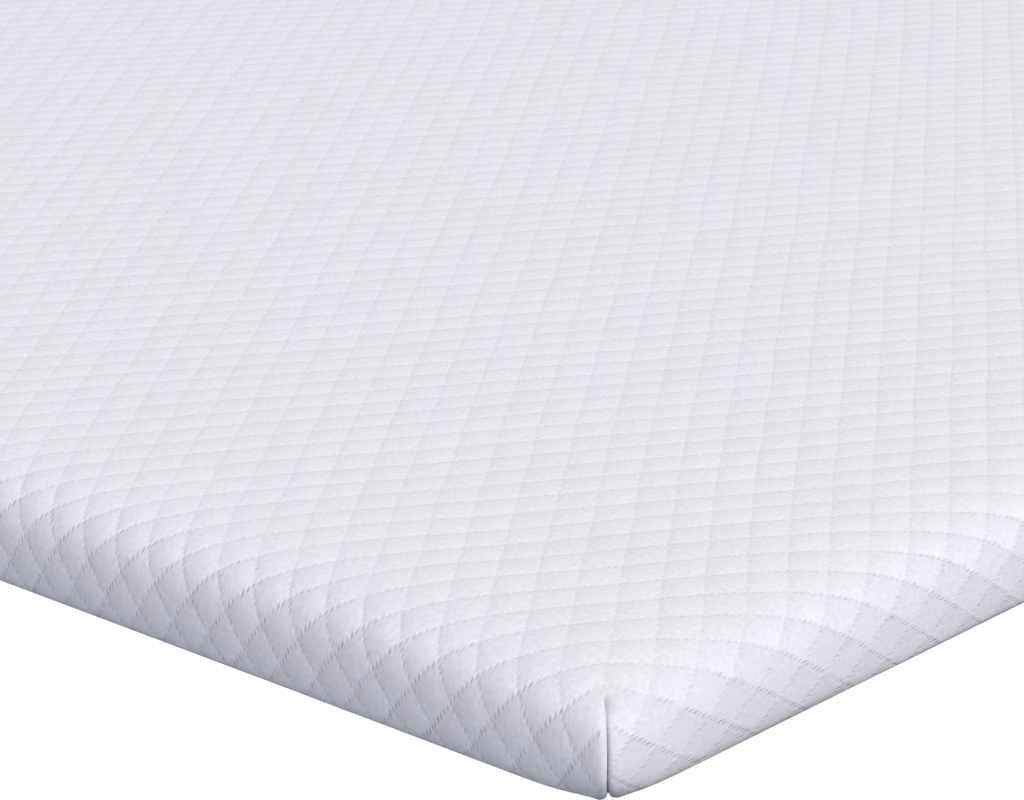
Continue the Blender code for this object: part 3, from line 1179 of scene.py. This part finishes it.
    def knit(self) -> Value:
        """Return the knit's own relief: ribs along the pad, courses across them, and fibres.

        Ribs and courses are sines of the place, and a noise bends the ribs.
        """
        bend = (self.nodes.noise(self.cloth, self.rib_clouds, 2.0) - 0.5) * self.rib_bend
        ribs = (self.across * (FULL_TURN / self.rib_pitch) + bend).math("SINE")
        courses = (self.along * (FULL_TURN / self.course_pitch)).math("SINE")
        fibres = self.nodes.noise(self.cloth, 1.0 / self.fibre_size, 3.0)
        return ribs * self.rib_depth + courses * self.course_depth + fibres * self.fibre_depth

    def threads(self) -> Value:
        """Return the ridges that a corner seam's thread draws in the cloth beside it.

        They are a wavering sine of the height, and die away with the distance from the seam.
        """
        place = self.nodes.node("ShaderNodeTexCoord").outputs["Object"]
        waver = self.nodes.noise(place, self.thread_clouds, 1.0) * self.thread_bend
        turns = self.nodes.parts(place)[2] * (FULL_TURN / self.thread_pitch)
        ridges = (turns + waver).math("SINE")
        return ridges * self.away.mapped(0.0, self.thread_reach, self.thread_depth, 0.0)

    def painted_flank_shade(self) -> Value:
        """Return the painted shade and light, about 0, on the two flanks of a diamond.

        For each family of lines it is the sign of the offset times one less twice the offset's
        size, so that it jumps at a line and is nothing half way to the next.
        """
        tones = []
        for offset, strengths in zip(self.offsets, (self.flank_shade_rising, self.flank_shade_falling)):
            flank = offset.mapped(-self.flank_shade_turn, self.flank_shade_turn, -1.0, 1.0)
            tones.append((1.0 - abs(offset) * 2.0) * flank * self.side.blend(*strengths))
        return tones[0] + tones[1]

    def diamonds(self) -> Value:
        """Return a tone about 0 that each diamond draws for itself."""
        numbers = tuple(line.math("FLOOR") for line in self.lines)
        cell = self.nodes.result("ShaderNodeCombineXYZ", numbers)
        drawn = self.nodes.node("ShaderNodeTexWhiteNoise", noise_dimensions="2D")
        self.nodes.join(cell, drawn.inputs["Vector"])
        return (Value(self.nodes, drawn.outputs["Value"]) - 0.5) * (2.0 * self.diamond_tones)

    def clouds(self) -> Value:
        """Return a tone about 1 that wanders slowly over the cloth."""
        wander = self.nodes.noise(self.cloth, self.slow_clouds, 5.0)
        return wander.mapped(0.3, 0.7, 1.0 + self.cloud_tones, 1.0 - self.cloud_tones)


@dataclass(frozen=True)
class Studio:
    """The plain floor, the soft light and the camera at the photograph's viewing angle."""

    shape: PadShape
    lens: float = 135.38
    sensor: float = 36.0
    camera_from_crossing: tuple[float, float, float] = (0.8597, -1.0149, 0.5650)
    heading: tuple[float, float, float] = (-0.62762, 0.70630, -0.32746)
    roll: float = 0.00233
    lamp_place: tuple[float, float, float] = (7.3, -0.8, 4.45)
    lamp_size: float = 5.0
    lamp_power: float = 249.0
    lamp_colour: tuple[float, float, float] = (1.0, 0.99, 0.97)
    floor_size: float = 40.0
    floor_colour: tuple[float, float, float, float] = (0.90, 0.90, 0.90, 1.0)
    floor_glow: float = 0.95
    floor_drop: float = 0.0003
    upper_light: tuple[float, float, float, float] = (0.80, 0.805, 0.865, 1.0)
    lower_light: tuple[float, float, float, float] = (0.24, 0.245, 0.29, 1.0)
    horizon: Pair = (-0.85, 0.30)
    bounce_colour: tuple[float, float, float] = (0.380, 0.385, 0.465)
    bounce_drop: float = 0.0005
    bounce_gap: float = 0.0065
    # Painted light on the bounce sheet beside the pad, on the right and in front.
    bounce_painted_light_share: float = 1.22
    bounce_front_painted_light_share: float = 1.04

    def build(self) -> None:
        """Make the floor, the sky, the lamp and the camera."""
        self.make_floor()
        self.make_bounce()
        self.make_sky()
        self.make_lamp()
        self.make_camera()
        bpy.context.scene.view_settings.view_transform = "Standard"

    def add_level_sheet(self, name: str, drop: float) -> tuple[bpy.types.Object, bpy.types.Node]:
        """Add a wide level sheet under the pad, which is no part of the object.

        Args:
            name: Name of the sheet and its material.
            drop: How far it lies below the pad.

        Returns:
            The sheet and its matt shader.
        """
        half = self.floor_size / 2.0
        mesh = bpy.data.meshes.new(name)
        corners = [(-half, -half, 0.0), (half, -half, 0.0), (half, half, 0.0), (-half, half, 0.0)]
        mesh.from_pydata(corners, [], [(0, 1, 2, 3)])
        material = bpy.data.materials.new(name)
        material.use_nodes = True
        shader = material.node_tree.nodes["Principled BSDF"]
        shader.inputs["Roughness"].default_value = 1.0
        shader.inputs["Specular IOR Level"].default_value = 0.0
        mesh.materials.append(material)
        sheet = bpy.data.objects.new(name, mesh)
        sheet.location.z = -drop
        bpy.context.scene.collection.objects.link(sheet)
        return sheet, shader

    def make_floor(self) -> None:
        """Make the plain white floor that the camera sees.

        It glows a little, so that it stays without shadow, and it throws no light up at the cloth:
        the sheet under it does that.
        """
        floor, shader = self.add_level_sheet("studio_floor", self.floor_drop)
        shader.inputs["Base Color"].default_value = self.floor_colour
        shader.inputs["Emission Color"].default_value = (1.0, 1.0, 1.0, 1.0)
        shader.inputs["Emission Strength"].default_value = self.floor_glow
        floor.visible_diffuse = False
        floor.visible_glossy = False
        floor.visible_shadow = False

    def make_bounce(self) -> None:
        """Make the grey sheet under the floor that throws light up at the cloth.

        Its share of the full tone is 1 under the pad and nothing close to the pad's right foot, a
        painted contact shadow there. It rises over the gap to more than 1 on the right, which is the
        lamp's side, as painted light, and a little less far in front.
        """
        sheet, shader = self.add_level_sheet("studio_bounce", self.bounce_drop)
        sheet.visible_camera = False
        nodes = NodeTree(shader.id_data)
        x, y, _ = nodes.parts(nodes.node("ShaderNodeTexCoord").outputs["Object"])
        edge, front, gap = self.shape.half[0], -self.shape.half[1], self.bounce_gap
        # painted light beside the pad's right foot, on the lamp's side
        outside = x.mapped(edge, edge + gap, 0.0, self.bounce_painted_light_share)
        # painted contact shadow just inside the pad's right foot
        under = x.mapped(edge - 2.0 * gap, edge - gap, 1.0, 0.0)
        # painted light in front of the pad
        before = y.mapped(front - gap, front, self.bounce_front_painted_light_share, 0.0)
        share = outside.math("MAXIMUM", under).math("MAXIMUM", before)
        nodes.tint(self.bounce_colour, share, shader.inputs["Base Color"])

    def make_sky(self) -> None:
        """Make the even light from all round, brighter from above than from below."""
        world = bpy.data.worlds.new("studio_sky")
        world.use_nodes = True
        nodes = NodeTree(world.node_tree)
        upward = nodes.parts(nodes.node("ShaderNodeTexCoord").outputs["Generated"])[2]
        blend = nodes.node("ShaderNodeMix", data_type="RGBA")
        nodes.join(upward.mapped(*self.horizon, 0.0, 1.0), blend.inputs["Factor"])
        blend.inputs[6].default_value = self.lower_light
        blend.inputs[7].default_value = self.upper_light
        nodes.join(blend.outputs[2], world.node_tree.nodes["Background"].inputs["Color"])
        bpy.context.scene.world = world

    def make_lamp(self) -> None:
        """Make the wide key lamp, high on the right, which points at the pad."""
        data = bpy.data.lights.new("key_lamp", "AREA")
        data.shape = "SQUARE"
        data.size = self.lamp_size
        data.energy = self.lamp_power
        data.color = self.lamp_colour
        lamp = bpy.data.objects.new("key_lamp", data)
        lamp.location = self.lamp_place
        lamp.rotation_euler = (-Vector(self.lamp_place)).to_track_quat("-Z", "Y").to_euler()
        bpy.context.scene.collection.objects.link(lamp)

    def make_camera(self) -> None:
        """Make the camera, placed from the stitch crossing above the seen corner."""
        data = bpy.data.cameras.new("studio_camera")
        data.lens = self.lens
        data.sensor_width = self.sensor
        camera = bpy.data.objects.new("studio_camera", data)
        crossing = Vector((*self.shape.crossing, self.shape.level))
        camera.location = crossing + Vector(self.camera_from_crossing)
        camera.rotation_mode = "QUATERNION"
        level = Vector(self.heading).to_track_quat("-Z", "Y")
        camera.rotation_quaternion = level @ Quaternion((0.0, 0.0, 1.0), self.roll)
        bpy.context.scene.collection.objects.link(camera)
        bpy.context.scene.camera = camera


def main() -> None:
    """Build the studio and the cover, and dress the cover."""
    logging.basicConfig(level=logging.INFO, format="%(message)s")
    low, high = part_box(PAD_NODE)
    size = high - low
    shape = PadShape(half=(size.x / 2.0, size.y / 2.0), height=size.z)
    Studio(shape).build()
    cover = QuiltedCover(shape).build()
    cover.data.materials.append(KnitFinish(shape).build())
    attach(cover, BODY)
    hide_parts(PAD_NODE)


if __name__ == "__main__":
    main()
